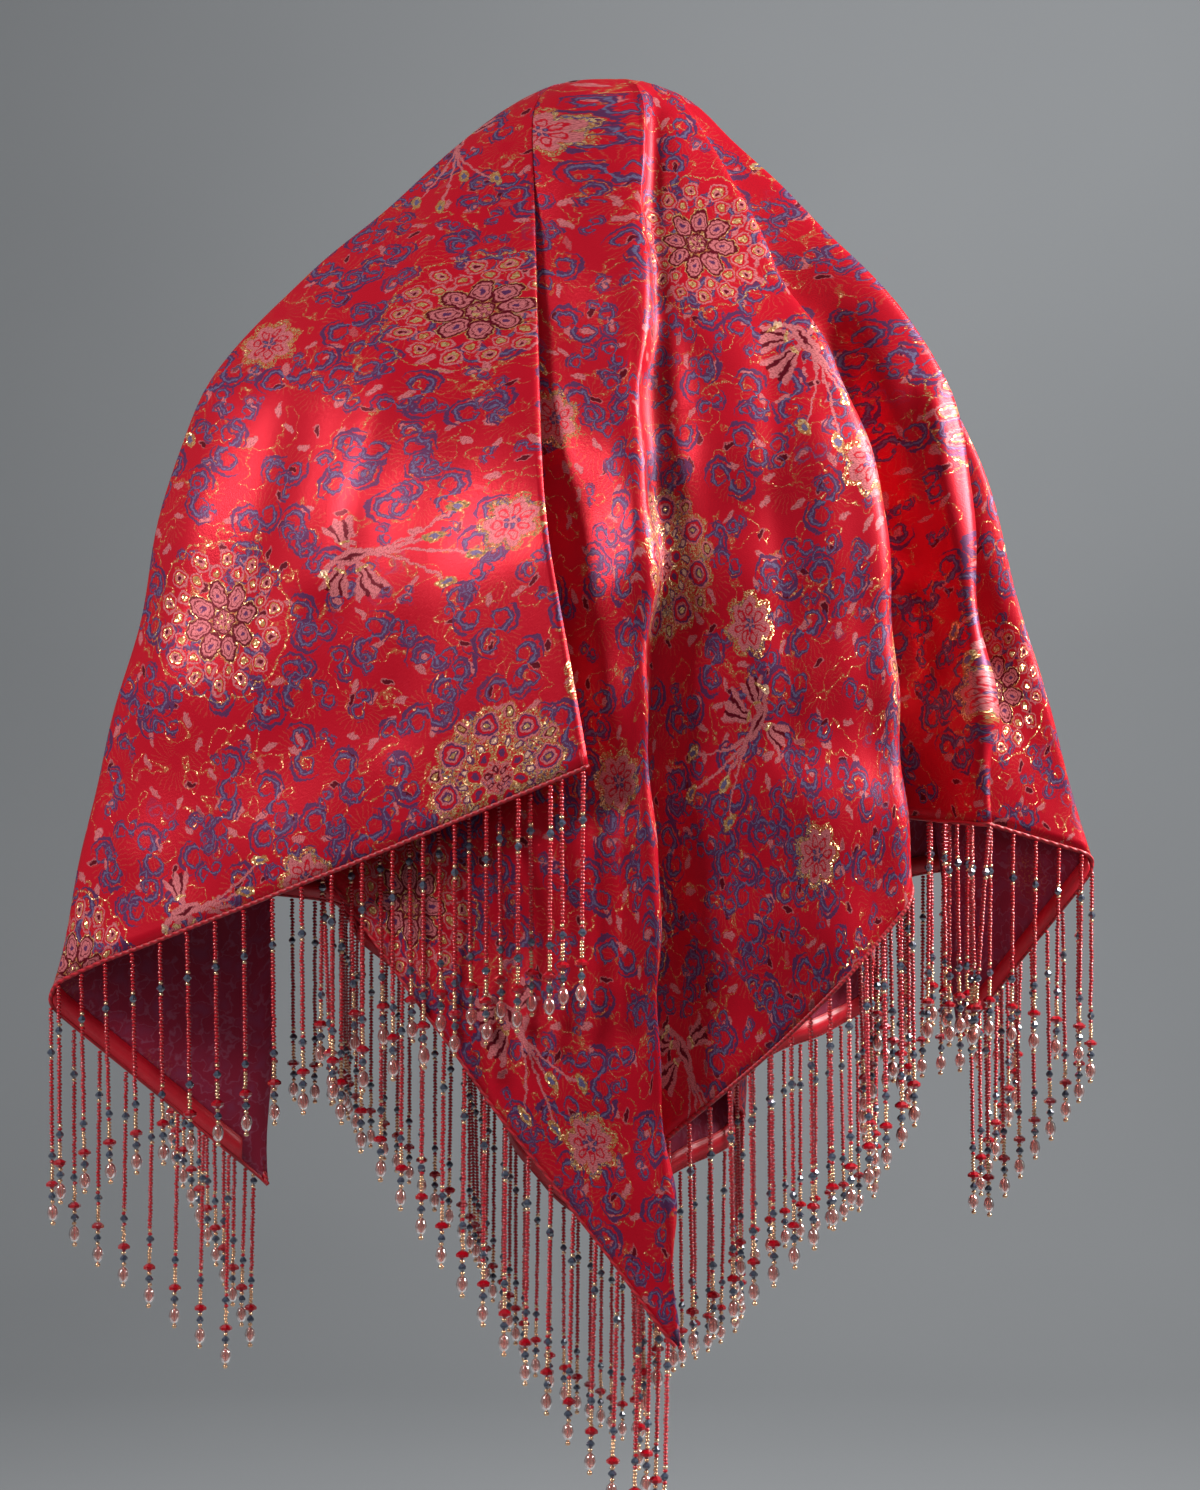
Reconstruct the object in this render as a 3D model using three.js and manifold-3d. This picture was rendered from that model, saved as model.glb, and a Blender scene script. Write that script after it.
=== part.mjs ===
// A bridal head veil for hanfu dress: one square of brocade, hemmed with a narrow
// satin facing and a corded edge, and hung with a fringe of bead strands on all four sides.
// It keeps the hollow form that it has when it is worn, draped from the crown over the
// shoulders with one deep knife pleat at the front. Millimetres, +Z up, the front along -Y,
// origin under the cloth at the top of the crown.

import * as THREE from 'three';
import { mergeVertices } from 'three/addons/utils/BufferGeometryUtils.js';
import Module from 'manifold-3d';

// Driving dimensions of the cloth and its trim.
const CLOTH = { side: 900, wall: 1.4 };
const FACING = { width: 10, wall: 0.8 };
const EDGE_CORD = { height: 2, wall: 1, gap: 1 };
const STRAND = { perSide: 52, length: 108, radius: 1 };
const SEAM_GAP = 0.3;

// The general figure that the cloth is draped over: the crown's rim, and the line round
// the shoulders and chest where the cloth turns from sloping to hanging.
const RIM = { centreX: 5, halfWidth: 42, halfDepth: 34, drop: 7 };
const TURN = {
  centreX: -10,
  halfWidth: 186,
  front: 135,
  back: 115,
  sideDrop: 145,
  frontDrop: 228,
  backDrop: 190,
};

// What share of the way to its neighbours a fold line is rounded over, before and after the rim
// and on both sides of the turn.
const RIM_ROUNDING = 0.5;
const RIM_ROUNDING_BELOW = 0.125;
const TURN_ROUNDING = 0.24;

// The fold lines, from the front corner round by the wearer's left, back and right.
// top and out are bearings in degrees at the rim and at the turn, 0 to the viewer's right
// and 270 to the front; proud is how far the line stands off the figure at the turn;
// x, y, z is where it meets the hem; soft is 0 for a pressed crease and 1 for a round wave.
const FOLDS = [
  { name: 'front corner', top: 294, out: 279, proud: 12, x: 40, y: -148, z: -617, soft: 0.35, corner: true },
  { name: 'tuck behind the tip', top: 301, out: 283, proud: -9, x: 12, y: -116, z: -540, soft: 0.7 },
  { name: 'right chest', top: 312, out: 296, proud: 5, x: 95, y: -138, z: -470, soft: 1 },
  { name: 'first right ridge', top: 327, out: 316, proud: 12, x: 153, y: -120, z: -407, soft: 0.35 },
  { name: 'first right hollow', top: 333, out: 324, proud: -44, x: 132, y: -42, z: -372, soft: 0.7 },
  { name: 'second right ridge', top: 344, out: 346, proud: 12, x: 194, y: -92, z: -377, soft: 0.35 },
  { name: 'second right hollow', top: 350, out: 352, proud: -16, x: 158, y: -22, z: -366, soft: 0.6 },
  { name: 'right outline', top: 0, out: 359, proud: 7, x: 259, y: 2, z: -396, soft: 0.25 },
  { name: 'right corner', top: 6, out: 5, proud: -26, x: 186, y: 18, z: -491, soft: 0.4, corner: true },
  { name: 'behind the right arm', top: 13, out: 11, proud: 4, x: 235, y: 74, z: -398, soft: 0.5 },
  { name: 'back hollow 1', top: 25, out: 24, proud: -28, x: 130, y: 54, z: -412, soft: 1 },
  { name: 'back ridge 1', top: 38, out: 38, proud: 6, x: 165, y: 138, z: -485, soft: 0.75 },
  { name: 'back hollow 2', top: 52, out: 52, proud: -26, x: 66, y: 68, z: -512, soft: 1 },
  { name: 'back ridge 2', top: 66, out: 66, proud: 8, x: 88, y: 150, z: -555, soft: 0.8 },
  { name: 'back hollow 3', top: 79, out: 79, proud: -24, x: 18, y: 78, z: -580, soft: 1 },
  { name: 'back corner', top: 92, out: 91, proud: 8, x: 28, y: 158, z: -628, soft: 0.6, corner: true },
  { name: 'back hollow 4', top: 105, out: 104, proud: -26, x: -32, y: 78, z: -575, soft: 1 },
  { name: 'back ridge 3', top: 118, out: 116, proud: 7, x: -60, y: 152, z: -535, soft: 0.8 },
  { name: 'back hollow 5', top: 130, out: 128, proud: -28, x: -70, y: 62, z: -490, soft: 1 },
  { name: 'back ridge 4', top: 142, out: 142, proud: 6, x: -140, y: 135, z: -440, soft: 0.9 },
  { name: 'back hollow 6', top: 155, out: 156, proud: -28, x: -130, y: 50, z: -418, soft: 1 },
  { name: 'behind the left arm', top: 166, out: 169, proud: 4, x: -240, y: 68, z: -415, soft: 0.5 },
  { name: 'left corner', top: 173, out: 175, proud: -28, x: -161, y: -4, z: -565, soft: 0.4, corner: true },
  { name: 'left outline', top: 180, out: 182, proud: 8, x: -280, y: -38, z: -460, soft: 0.25 },
  { name: 'left panel', top: 192, out: 226, proud: 3, x: -138, y: -110, z: -404, soft: 1 },
  { name: 'pleat edge', top: 208, out: 267, proud: 10, x: 2, y: -158, z: -346, soft: 0.15 },
  { name: 'pleat inside', top: 203, out: 247, proud: -18, x: -141, y: -80, z: -384, soft: 0.3 },
  { name: 'under the pleat', top: 238, out: 267, proud: -8, x: -55, y: -114, z: -497, soft: 1 },
];

// How finely the solids are cut: steps round between two fold lines, and rings from the
// crown to the hem, given as shares of a fold line's length. LINE_TO_SIDE is the usual length of
// a fold line as a share of the square's side. END_GAP parts the trim of two sides at a corner,
// as a share of a fold.
const LINE_TO_SIDE = 0.62;
const FACING_TOP = 1 - FACING.width / (CLOTH.side * LINE_TO_SIDE);
const STEPS = 4;
const RINGS = [0.03, 0.075, 0.13, 0.2, 0.28, 0.37, 0.46, 0.55, 0.64, 0.74, 0.86, FACING_TOP, 1];
const END_GAP = 0.15;

// How a strand may lean off the plumb line to clear what it hangs beside: out from the cloth,
// and along the hem.
const LEANS = [
  [0, 0], [6, 0], [-6, 0], [12, 0], [0, 6], [0, -6],
  [-12, 0], [20, 8], [20, -8], [0, 16], [0, -16], [30, 0],
];

// How soft the square's corners are at the hem, the small steps in folds and in share that a
// normal is measured over, and what counts as no length at all.
const CORNER_SOFTNESS = 0.1;
const NORMAL_STEP = { u: 0.04, share: 0.01 };
const TINY = 1e-9;
const WELD = 1e-5;

const FOLD_COUNT = FOLDS.length;
const degrees = (a) => (a * Math.PI) / 180;
const mix = (a, b, t) => a + (b - a) * t;

// Where a bearing meets the crown's rim.
function rimPoint(bearing) {
  const a = degrees(bearing);
  return new THREE.Vector3(RIM.centreX + RIM.halfWidth * Math.cos(a), RIM.halfDepth * Math.sin(a), -RIM.drop);
}

// Where a bearing meets the turn, moved out by proud.
function turnPoint(bearing, proud) {
  const a = degrees(bearing);
  const front = Math.sin(a) < 0;
  const depth = front ? TURN.front : TURN.back;
  const drop = mix(TURN.sideDrop, front ? TURN.frontDrop : TURN.backDrop, Math.sin(a) ** 2);
  return new THREE.Vector3(
    TURN.centreX + (TURN.halfWidth + proud) * Math.cos(a),
    (depth + proud) * Math.sin(a),
    -drop,
  );
}

// One fold line as a smooth path: crown, rounded at the rim, straight, rounded at the turn, hem.
function foldPath(fold) {
  const crown = new THREE.Vector3(0, 0, 0);
  const rim = rimPoint(fold.top);
  const turn = turnPoint(fold.out, fold.proud);
  const hem = new THREE.Vector3(fold.x, fold.y, fold.z);
  const path = new THREE.CurvePath();
  const cut = (from, to, share) => from.clone().lerp(to, share);
  const beforeRim = cut(rim, crown, RIM_ROUNDING);
  const afterRim = cut(rim, turn, RIM_ROUNDING_BELOW);
  const beforeTurn = cut(turn, rim, TURN_ROUNDING);
  const afterTurn = cut(turn, hem, TURN_ROUNDING);
  path.add(new THREE.LineCurve3(crown, beforeRim));
  path.add(new THREE.QuadraticBezierCurve3(beforeRim, rim, afterRim));
  path.add(new THREE.LineCurve3(afterRim, beforeTurn));
  path.add(new THREE.QuadraticBezierCurve3(beforeTurn, turn, afterTurn));
  path.add(new THREE.LineCurve3(afterTurn, hem));
  return path;
}

const PATHS = FOLDS.map(foldPath);

// A point of a fold line at a share of its length; past 1 it carries on straight.
function onPath(index, share) {
  const path = PATHS[(index + FOLD_COUNT) % FOLD_COUNT];
  if (share <= 1) return path.getPointAt(share);
  const end = path.getPointAt(1);
  return end.add(path.getTangentAt(1).multiplyScalar(path.getLength() * (share - 1)));
}

// How far a fold is rounded: corners of the cloth stay pointed at the hem.
function softness(index, share) {
  const fold = FOLDS[(index + FOLD_COUNT) % FOLD_COUNT];
  const atHem = fold.corner ? CORNER_SOFTNESS : fold.soft;
  return mix(fold.soft, atHem, Math.min(share, 1) ** 4);
}

// The cloth's middle surface: a section at a share of the way to the hem is a polygon
// through the fold lines whose corners are rounded by short parabolas.
function clothPoint(u, share) {
  const index = Math.floor(u);
  const w = u - index;
  const here = onPath(index, share);
  const next = onPath(index + 1, share);
  const half = softness(index, share) / 2;
  const halfNext = softness(index + 1, share) / 2;
  const corner = (before, at, after, reach, t) => {
    const a = at.clone().lerp(before, reach);
    const b = at.clone().lerp(after, reach);
    return a.lerp(at, t).lerp(at.clone().lerp(b, t), t);
  };
  if (w < half) return corner(onPath(index - 1, share), here, next, half, 0.5 + w / (2 * half));
  if (1 - w < halfNext) {
    return corner(here, next, onPath(index + 2, share), halfNext, 0.5 - (1 - w) / (2 * halfNext));
  }
  return here.lerp(next, w);
}

// The outward normal, from the surface's two directions.
function clothNormal(u, share) {
  const { u: du, share: ds } = NORMAL_STEP;
  const across = clothPoint(u + du, share).sub(clothPoint(u - du + FOLD_COUNT * (u < du), share));
  const down = clothPoint(u, share + ds).sub(clothPoint(u, Math.max(share - ds, 0)));
  return down.cross(across).normalize();
}

// A point off the cloth, lifted so that the crown's inner face is at the origin.
function offCloth(u, share, distance) {
  const p = clothPoint(u, share).addScaledVector(clothNormal(u, share), distance);
  p.z += CLOTH.wall / 2;
  return p;
}

// The same point on the flat facets that the solids are made of, whose corners are STEPS to
// a fold, so that what lies on the cloth keeps an even gap to it.
function onFacets(u, share, distance) {
  const k = Math.floor(u * STEPS + TINY);
  const corner = (n) => offCloth((n / STEPS) % FOLD_COUNT, share, distance);
  return corner(k).lerp(corner(k + 1), u * STEPS - k);
}

// A point past the hem, on the same facets: square to the hem's own line within the surface, so
// that it keeps its gap where the hem climbs steeply into a fold.
function belowHem(u, below, distance) {
  const k = Math.floor(u * STEPS + TINY);
  const around = (n) => ((n + FOLD_COUNT * STEPS) % (FOLD_COUNT * STEPS)) / STEPS;
  const corner = (n) => {
    const edge = offCloth(around(n + 1), 1, 0).sub(offCloth(around(n - 1), 1, 0)).normalize();
    const normal = clothNormal(around(n), 1);
    const down = edge.cross(normal).normalize();
    const path = clothPoint(around(n), 1).sub(clothPoint(around(n), 1 - NORMAL_STEP.share));
    if (down.dot(path) < 0) down.negate();
    return offCloth(around(n), 1, distance).addScaledVector(down, below);
  };
  return corner(k).lerp(corner(k + 1), u * STEPS - k);
}

function geometryOf(points, triangles) {
  const geometry = new THREE.BufferGeometry();
  geometry.setAttribute('position', new THREE.Float32BufferAttribute(points.flatMap((p) => p.toArray()), 3));
  geometry.setIndex(triangles);
  return geometry;
}

// The brocade: an outer and an inner wall of rings, closed at the crown and along the hem.
function brocade(wall) {
  const around = FOLD_COUNT * STEPS;
  const points = [];
  const triangles = [];
  const half = wall / 2;
  for (const side of [half, -half]) {
    points.push(new THREE.Vector3(0, 0, side + CLOTH.wall / 2));
    for (const share of RINGS) {
      for (let k = 0; k < around; k++) points.push(offCloth(k / STEPS, share, side));
    }
  }
  const layer = 1 + RINGS.length * around;
  const at = (layerIndex, ring, k) => layerIndex * layer + 1 + ring * around + (k % around);
  const face = (a, b, c, flip) => triangles.push(...(flip ? [a, c, b] : [a, b, c]));
  for (const inner of [0, 1]) {
    for (let k = 0; k < around; k++) {
      face(inner * layer, at(inner, 0, k), at(inner, 0, k + 1), inner);
      for (let ring = 0; ring + 1 < RINGS.length; ring++) {
        face(at(inner, ring, k), at(inner, ring + 1, k), at(inner, ring + 1, k + 1), inner);
        face(at(inner, ring, k), at(inner, ring + 1, k + 1), at(inner, ring, k + 1), inner);
      }
    }
  }
  const last = RINGS.length - 1;
  for (let k = 0; k < around; k++) {
    face(at(0, last, k), at(1, last, k), at(1, last, k + 1), 0);
    face(at(0, last, k), at(1, last, k + 1), at(0, last, k + 1), 0);
  }
  return geometryOf(points, triangles);
}

// Where one side's trim has its sections: at the facets' corners, and just short of its ends.
function trimPlaces({ from, to }) {
  const inner = Array.from({ length: (to - from) * STEPS - 1 }, (_, k) => from + (k + 1) / STEPS);
  return [from + END_GAP, ...inner, to - END_GAP];
}

// Sections along the hem. Each is four corners, given as a distance off the cloth and either a
// share of the way to the hem or a distance below it.
function hemSections(places, section) {
  const at = (u, { share, below, off }) => (share ? onFacets(u, share, off) : belowHem(u, below, off));
  return places.map((u) => section.map((corner) => at(u, corner)));
}

// A closed bar through the sections. Its underside, the wall from corner 1 to corner 2, grows
// into a strand between two sections wherever strands holds the four points of a foot.
function hemBar(sections, strands = new Map()) {
  const points = sections.flat();
  const triangles = [];
  const quad = (a, b, c, d) => triangles.push(a, b, c, a, c, d);
  const last = sections.length - 1;
  for (let k = 0; k < last; k++) {
    for (let c = 0; c < 4; c++) {
      const a = k * 4 + c;
      const b = k * 4 + ((c + 1) % 4);
      const root = [a, b, b + 4, a + 4];
      const foot = c === 1 && strands.get(k);
      if (!foot) {
        quad(...root);
        continue;
      }
      const first = points.length;
      points.push(...foot);
      for (let i = 0; i < 4; i++) quad(root[i], root[(i + 1) % 4], first + ((i + 1) % 4), first + i);
      quad(first, first + 1, first + 2, first + 3);
    }
  }
  quad(0, 3, 2, 1);
  quad(last * 4, last * 4 + 1, last * 4 + 2, last * 4 + 3);
  return geometryOf(points, triangles);
}

// The four sides of the square, each from one corner's fold line to the next.
const CORNERS = FOLDS.map((fold, index) => (fold.corner ? index : -1)).filter((index) => index >= 0);
const SIDE_NAMES = ['front_right', 'back_right', 'back_left', 'front_left'];
const SIDES = CORNERS.map((from, i) => ({
  name: SIDE_NAMES[i],
  from,
  to: CORNERS[i + 1] ?? CORNERS[0] + FOLD_COUNT,
}));

const wasm = await Module();
wasm.setup();

function solid(geometry) {
  const bare = geometry.clone();
  bare.deleteAttribute('normal');
  bare.deleteAttribute('uv');
  const merged = mergeVertices(bare, WELD);
  return new wasm.Manifold(
    new wasm.Mesh({
      numProp: 3,
      vertProperties: new Float32Array(merged.attributes.position.array),
      triVerts: new Uint32Array(merged.index.array),
    }),
  );
}

const total = (points) => points.reduce((sum, p) => sum.add(p), new THREE.Vector3());
const mean = (points) => total(points).divideScalar(points.length);

// The edge cord of one side as a line that can be read at any length along it.
function cordLine(sections) {
  const lengths = [0];
  for (let k = 1; k < sections.length; k++) {
    lengths.push(lengths[k - 1] + mean(sections[k]).distanceTo(mean(sections[k - 1])));
  }
  const at = (length) => {
    const k = Math.max(lengths.findIndex((l) => l >= length), 1);
    const t = (length - lengths[k - 1]) / (lengths[k] - lengths[k - 1]);
    return sections[k].map((corner, c) => sections[k - 1][c].clone().lerp(corner, t));
  };
  return { lengths, at };
}

// A strand from its root, the cord's underside between two sections, to a level square foot: its
// foot's four points, and the room that it takes from root to foot when grown on every side.
function strand(before, after, [offPlumb, sideways], grown) {
  const root = [before[1], before[2], after[2], after[1]];
  const along = mean([after[1], after[2]]).sub(mean([before[1], before[2]])).setZ(0).normalize();
  const out = new THREE.Vector3(along.y, -along.x, 0);
  const centre = mean(root).addScaledVector(out, offPlumb).addScaledVector(along, sideways);
  centre.z -= STRAND.length;
  const reach = STRAND.radius + grown;
  const square = (middle) => [[-1, 1], [-1, -1], [1, -1], [1, 1]].map(([a, o]) =>
    middle.clone().addScaledVector(along, a * reach).addScaledVector(out, o * reach),
  );
  const foot = square(centre);
  const room = wasm.Manifold.hull([...square(mean(root)), ...foot].map((p) => p.toArray()));
  return { foot, room };
}

const FABRIC = new THREE.MeshStandardMaterial({ color: 0xb5141d, roughness: 0.42, metalness: 0 });
const SATIN = new THREE.MeshStandardMaterial({ color: 0xc20f1c, roughness: 0.35, metalness: 0 });
const BEADS = new THREE.MeshStandardMaterial({ color: 0xa30d16, roughness: 0.2, metalness: 0 });

const veil = new THREE.Group();

function add(name, geometry, material) {
  const mesh = new THREE.Mesh(geometry, material);
  mesh.name = name;
  veil.add(mesh);
}

add('veil_brocade', brocade(CLOTH.wall), FABRIC);

// The brocade grown on both faces by the gap that its trim keeps to it.
const clearance = solid(brocade(CLOTH.wall + 2 * SEAM_GAP));

const innerFace = -CLOTH.wall / 2 - SEAM_GAP;
const cordFoot = EDGE_CORD.gap + EDGE_CORD.height;

const trims = SIDES.map((side) => {
  const places = trimPlaces(side);
  const facing = hemBar(hemSections(places, [
    { share: FACING_TOP, off: innerFace },
    { share: 1, off: innerFace },
    { share: 1, off: innerFace - FACING.wall },
    { share: FACING_TOP, off: innerFace - FACING.wall },
  ]));
  const sections = hemSections(places, [
    { below: EDGE_CORD.gap, off: EDGE_CORD.wall / 2 },
    { below: cordFoot, off: EDGE_CORD.wall / 2 },
    { below: cordFoot, off: -EDGE_CORD.wall / 2 },
    { below: EDGE_CORD.gap, off: -EDGE_CORD.wall / 2 },
  ]);
  return { name: side.name, facing, sections, bareCord: solid(hemBar(sections)) };
});

// Each strand takes the first lean that keeps it clear of the cloth, the trim and the strands
// hung before it, and meets its own cord at the root alone. One with no such lean is left out.
const hung = [clearance, ...trims.map(({ facing }) => solid(facing))];
for (const { name, facing, sections, bareCord } of trims) {
  add(`hem_facing_${name}`, facing, SATIN);
  const others = trims.filter((trim) => trim.name !== name).map((trim) => trim.bareCord);
  const line = cordLine(sections);
  const cells = [];
  for (let i = 0; i < STRAND.perSide; i++) {
    const middle = (line.lengths.at(-1) * (i + 0.5)) / STRAND.perSide;
    const ends = [middle - STRAND.radius, middle + STRAND.radius];
    for (const lean of LEANS) {
      const { foot, room } = strand(line.at(ends[0]), line.at(ends[1]), lean, SEAM_GAP);
      const clear = [...hung, ...others].every((body) => body.intersect(room).isEmpty());
      if (!clear || bareCord.intersect(room).decompose().length > 1) continue;
      cells.push({ ends, foot: strand(line.at(ends[0]), line.at(ends[1]), lean, 0).foot });
      hung.push(room);
      break;
    }
  }
  const inCell = (length) => cells.some(({ ends }) => length > ends[0] && length < ends[1]);
  const stations = [...line.lengths.filter((l) => !inCell(l)), ...cells.flatMap(({ ends }) => ends)];
  stations.sort((a, b) => a - b);
  const feet = new Map(cells.map(({ ends, foot }) => [stations.indexOf(ends[0]), foot]));
  add(`fringe_${name}`, hemBar(stations.map(line.at), feet), BEADS);
}

export default veil;
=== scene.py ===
"""A bridal head veil of red brocade with a bead fringe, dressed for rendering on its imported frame."""

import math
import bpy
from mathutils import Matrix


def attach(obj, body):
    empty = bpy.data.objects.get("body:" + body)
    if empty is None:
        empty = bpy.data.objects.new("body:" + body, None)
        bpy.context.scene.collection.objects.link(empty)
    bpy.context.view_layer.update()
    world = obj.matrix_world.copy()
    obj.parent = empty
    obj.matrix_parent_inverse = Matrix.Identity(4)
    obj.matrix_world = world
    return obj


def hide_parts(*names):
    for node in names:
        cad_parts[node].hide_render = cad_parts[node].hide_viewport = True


bl_info = {
    "name": "Bridal Head Veil",
    "version": (1, 0, 0),
    "blender": (4, 5, 0),
    "location": "View3D > Sidebar > Head Veil",
    "description": "Drapes a square of brocade from the crown and hangs beads from its edges",
    "category": "Add Mesh",
}

from collections import namedtuple

import bpy
import numpy as np
from bpy.props import FloatProperty, FloatVectorProperty, IntProperty, PointerProperty

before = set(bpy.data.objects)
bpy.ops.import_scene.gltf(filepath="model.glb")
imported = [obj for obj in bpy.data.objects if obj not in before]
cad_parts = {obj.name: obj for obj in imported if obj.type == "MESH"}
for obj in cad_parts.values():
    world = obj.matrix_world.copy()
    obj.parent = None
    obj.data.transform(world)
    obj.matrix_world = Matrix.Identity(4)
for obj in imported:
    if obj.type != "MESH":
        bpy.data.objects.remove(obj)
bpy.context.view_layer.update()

MM = 0.001
TAU = 2 * math.pi

# How the cloth hangs, in millimetres: the rim of the crown, and the line round the shoulders and
# chest where the cloth turns from sloping to hanging. The part's source has the same numbers,
# apart from the front corner's softness, which is greater here.
RIM = {"centre_x": 5, "half_width": 42, "half_depth": 34, "drop": 7}
TURN = {
    "centre_x": -10, "half_width": 186, "front": 135, "back": 115,
    "side_drop": 145, "front_drop": 228, "back_drop": 190,
}
# How much of a line's straight part each rounding takes, and how soft a corner ends at the hem.
RIM_ROUNDING = 0.5
RIM_ROUNDING_BELOW = 0.125
TURN_ROUNDING = 0.24
CORNER_SOFTNESS = 0.1

# top and out are bearings in degrees at the rim and the turn, 0 to the viewer's right and 270
# to the front; proud is how far the line stands off the figure; x, y, z is where it meets the
# hem; soft is 0 for a pressed crease and 1 for a round wave; corner marks the square's corners.
Fold = namedtuple("Fold", "name top out proud x y z soft corner", defaults=(False,))
FOLDS = [
    Fold("front corner", 294, 279, 12, 40, -148, -617, 0.75, True),
    Fold("tuck behind the tip", 301, 283, -9, 12, -116, -540, 0.7),
    Fold("right chest", 312, 296, 5, 95, -138, -470, 1),
    Fold("first right ridge", 327, 316, 12, 153, -120, -407, 0.35),
    Fold("first right hollow", 333, 324, -44, 132, -42, -372, 0.7),
    Fold("second right ridge", 344, 346, 12, 194, -92, -377, 0.35),
    Fold("second right hollow", 350, 352, -16, 158, -22, -366, 0.6),
    Fold("right outline", 0, 359, 7, 259, 2, -396, 0.25),
    Fold("right corner", 6, 5, -26, 186, 18, -491, 0.4, True),
    Fold("behind the right arm", 13, 11, 4, 235, 74, -398, 0.5),
    Fold("back hollow 1", 25, 24, -28, 130, 54, -412, 1),
    Fold("back ridge 1", 38, 38, 6, 165, 138, -485, 0.75),
    Fold("back hollow 2", 52, 52, -26, 66, 68, -512, 1),
    Fold("back ridge 2", 66, 66, 8, 88, 150, -555, 0.8),
    Fold("back hollow 3", 79, 79, -24, 18, 78, -580, 1),
    Fold("back corner", 92, 91, 8, 28, 158, -628, 0.6, True),
    Fold("back hollow 4", 105, 104, -26, -32, 78, -575, 1),
    Fold("back ridge 3", 118, 116, 7, -60, 152, -535, 0.8),
    Fold("back hollow 5", 130, 128, -28, -70, 62, -490, 1),
    Fold("back ridge 4", 142, 142, 6, -140, 135, -440, 0.9),
    Fold("back hollow 6", 155, 156, -28, -130, 50, -418, 1),
    Fold("behind the left arm", 166, 169, 4, -240, 68, -415, 0.5),
    Fold("left corner", 173, 175, -28, -161, -4, -565, 0.4, True),
    Fold("left outline", 180, 182, 8, -280, -38, -460, 0.25),
    Fold("left panel", 192, 226, 3, -138, -110, -404, 1),
    Fold("pleat edge", 208, 267, 10, 2, -158, -346, 0.15),
    Fold("pleat inside", 203, 247, -18, -141, -80, -384, 0.3),
    Fold("under the pleat", 238, 267, -8, -55, -114, -497, 1),
]
FOLD_COUNT = len(FOLDS)
SIDES = ("front_right", "back_right", "back_left", "front_left")
CORNERS = [i for i, fold in enumerate(FOLDS) if fold.corner]

# How finely the cloth is cut: columns between two fold lines and rows from crown to hem, whose
# shares of the way are raised to this power.
COLUMNS_A_FOLD = 20
ROWS = 72
ROW_POWER = 0.9

# How finely fold lines and the hem are measured, and the steps in folds and in share over which
# the cloth's direction is taken. Lengths under TINY are taken as none.
LINE_STEPS = 400
BEND_STEPS = 60
HEM_STEPS_A_FOLD = 40
STEP_ACROSS, STEP_DOWN = 0.04, 0.01
TINY = 1e-9

# The trim: how finely the facing and the edge cord are cut along a side, how many folds before a
# corner the facing and strands stop, and the cord, and what share of the way from crown to hem
# leads to the cord's middle and to a strand's root. A fold line is 0.62 of a side long.
FACING_STEPS = 420
EDGE_STEPS = 700
END_GAP = 0.15
EDGE_GAP = 0.02
EDGE_SHARE = 1.001
ROOT_SHARE = 1.004
LINE_TO_SIDE = 0.62

# A strand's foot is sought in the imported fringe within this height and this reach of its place.
FOOT_HEIGHT = 6 * MM
FOOT_REACH = 36 * MM


def length_property(name, description, default):
    return FloatProperty(name=name, description=description, default=default, unit="LENGTH")


def colour_property(name, description, default):
    return FloatVectorProperty(name=name, description=description, default=default, subtype="COLOR")


class BrocadeSizes(bpy.types.PropertyGroup):
    side: length_property("Side", "Length of each side of the square cloth", 0.9)
    wall: length_property("Cloth thickness", "Thickness of the cloth", 1.4 * MM)
    ruffle: length_property("Ruffle", "How far the cloth ripples between its folds", 2.3 * MM)
    red: colour_property("Ground colour", "The red satin ground", (0.49, 0.005, 0.018))
    pink: colour_property("Pink weft", "Birds and petals", (0.56, 0.15, 0.16))
    # The blue weft also paints the highlight line along each scroll.
    blue: colour_property("Blue weft", "Scrolls", (0.11, 0.115, 0.22))
    gold: colour_property("Gold thread", "Glitter thread", (0.42, 0.18, 0.055))


class TrimSizes(bpy.types.PropertyGroup):
    facing_width: length_property("Facing width", "Width of the satin facing", 10 * MM)
    facing_wall: length_property("Facing thickness", "Thickness of the satin facing", 0.8 * MM)
    seam_gap: length_property("Seam gap", "Gap between the facing and the cloth", 0.3 * MM)
    roll: length_property("Edge roll", "Radius of the corded edge", 1.15 * MM)
    red: colour_property("Facing colour", "Plain satin", (0.62, 0.008, 0.022))


class FringeSizes(bpy.types.PropertyGroup):
    strands: IntProperty(name="Strands a side", description="Bead strands on each side", default=52)
    length: length_property("Strand length", "From the edge to the last bead", 108 * MM)
    thread: length_property("Thread", "Diameter of the thread", 0.6 * MM)


def resampled(points, count):
    """A polyline read at count + 1 equal shares of its length."""
    steps = np.linalg.norm(np.diff(points, axis=0), axis=1)
    along = np.concatenate([[0], np.cumsum(steps)])
    wanted = np.linspace(0, along[-1], count + 1)
    return np.stack([np.interp(wanted, along, points[:, i]) for i in range(3)], axis=1)


def unit(vectors):
    """The vectors at length 1."""
    return vectors / np.maximum(np.linalg.norm(vectors, axis=1), TINY)[:, None]


def parabola(start, middle, end, t):
    """The quadratic Bezier curve (1-t)^2 start + 2t(1-t) middle + t^2 end."""
    return (1 - t) ** 2 * start + 2 * t * (1 - t) * middle + t**2 * end


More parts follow.
